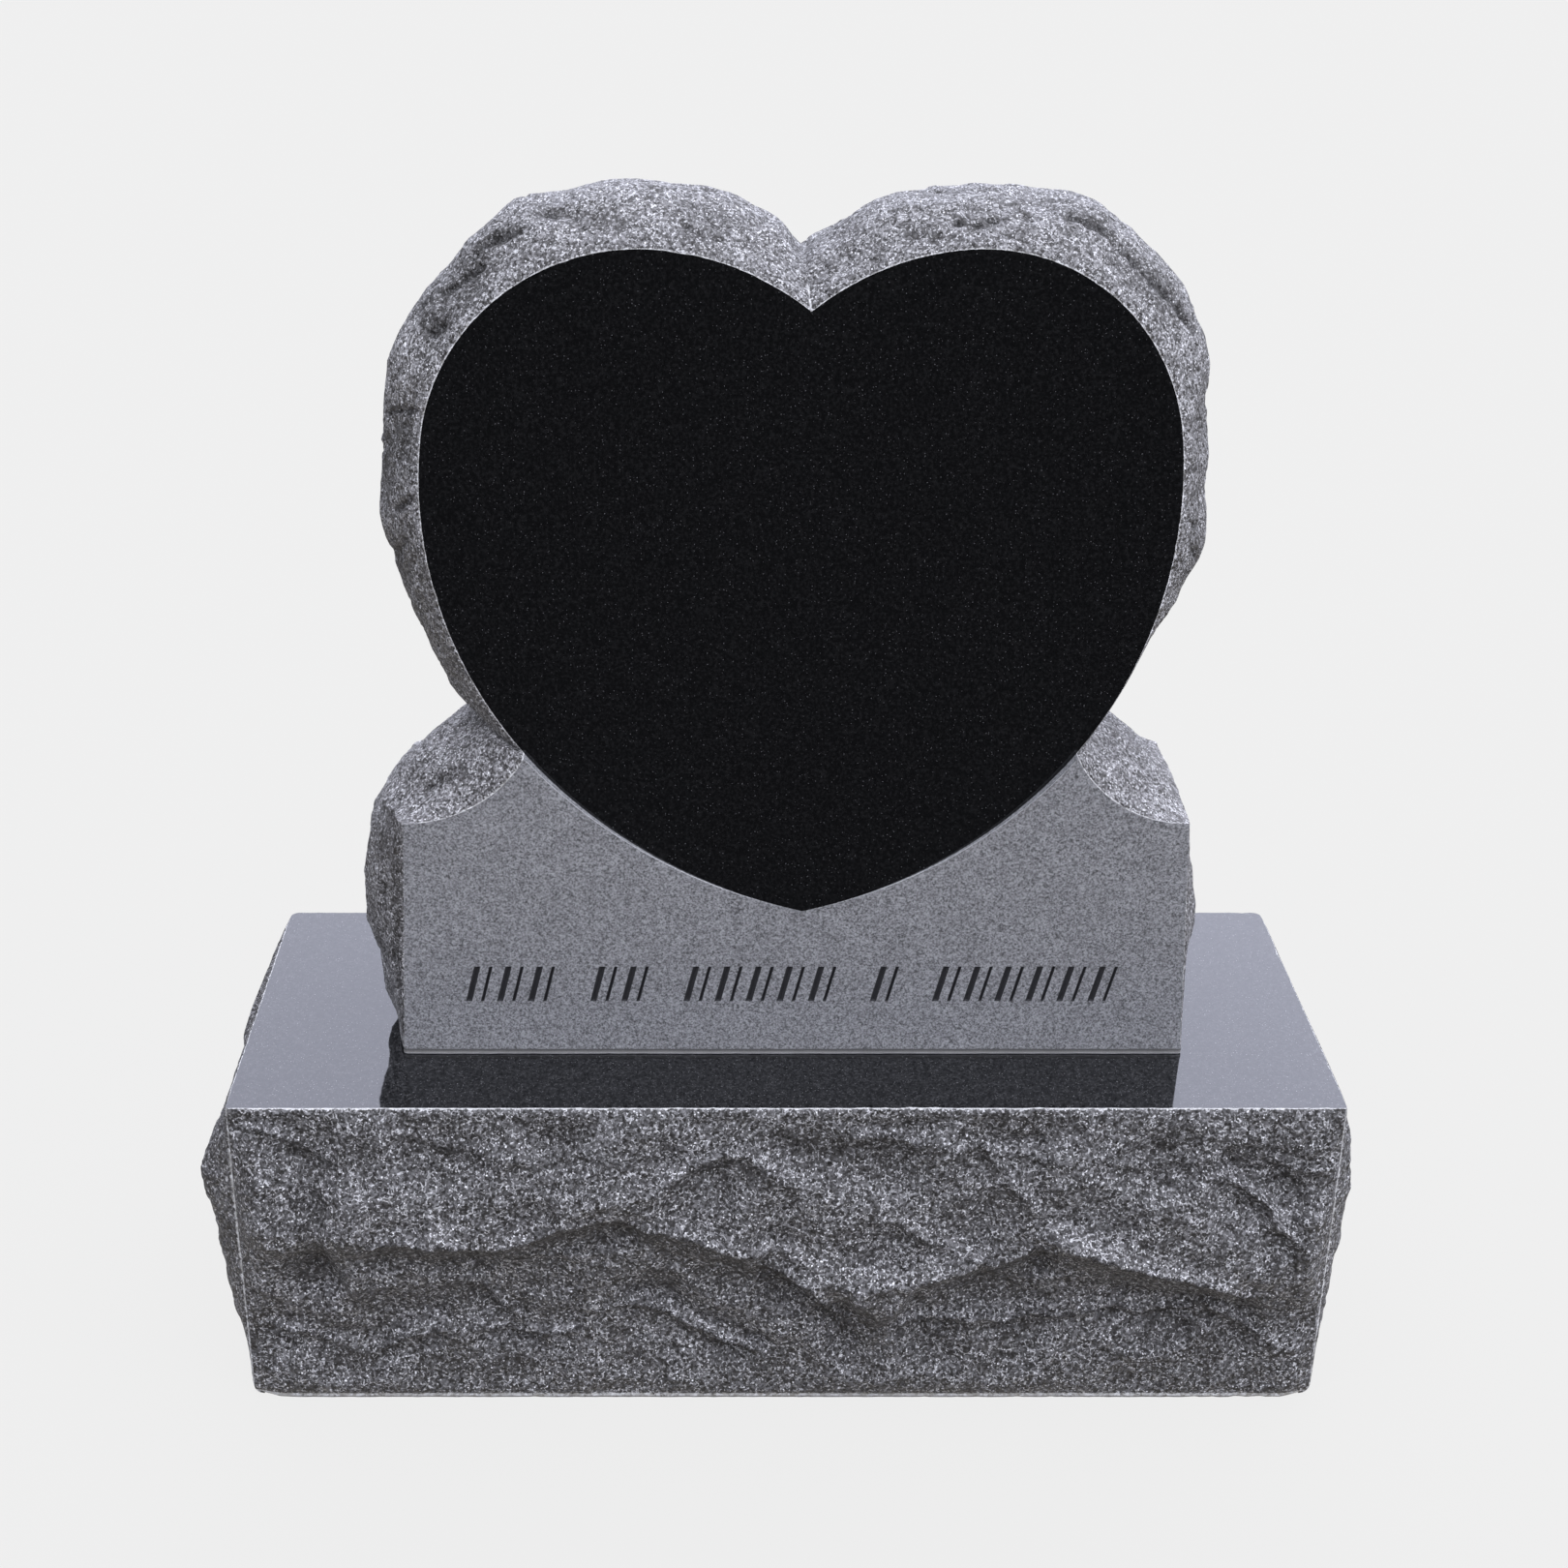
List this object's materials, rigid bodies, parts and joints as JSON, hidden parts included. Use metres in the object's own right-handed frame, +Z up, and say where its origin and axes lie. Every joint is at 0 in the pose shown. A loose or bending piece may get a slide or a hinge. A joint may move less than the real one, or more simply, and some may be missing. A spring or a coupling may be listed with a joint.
{
  "type": "heart headstone",
  "caption": "Granite grave memorial: a polished heart rises from an upright frosted panel with pitched shoulders, on a rock-pitched base.",
  "frame": {"origin": "middle of the base's underside, on the plane that the memorial stands on, halfway between the base's arrises", "axes": "+Z up; the heart, the panel and the row of strokes face -Y; +X to the right as a visitor faces the front"},
  "size_m": [1.0227, 0.4265, 1.0568],
  "materials": {
    "base_granite": "dark granite, polished on top and rock-pitched on the sides",
    "bed_compound": "grey setting compound, smoothed",
    "tablet_granite": "dark granite: heart polished, panel and back frosted, rim rock-pitched"
  },
  "bodies": {
    "root": {"base": "base_granite", "setting_bed": "bed_compound", "tablet": "tablet_granite"}
  },
  "joints": []
}
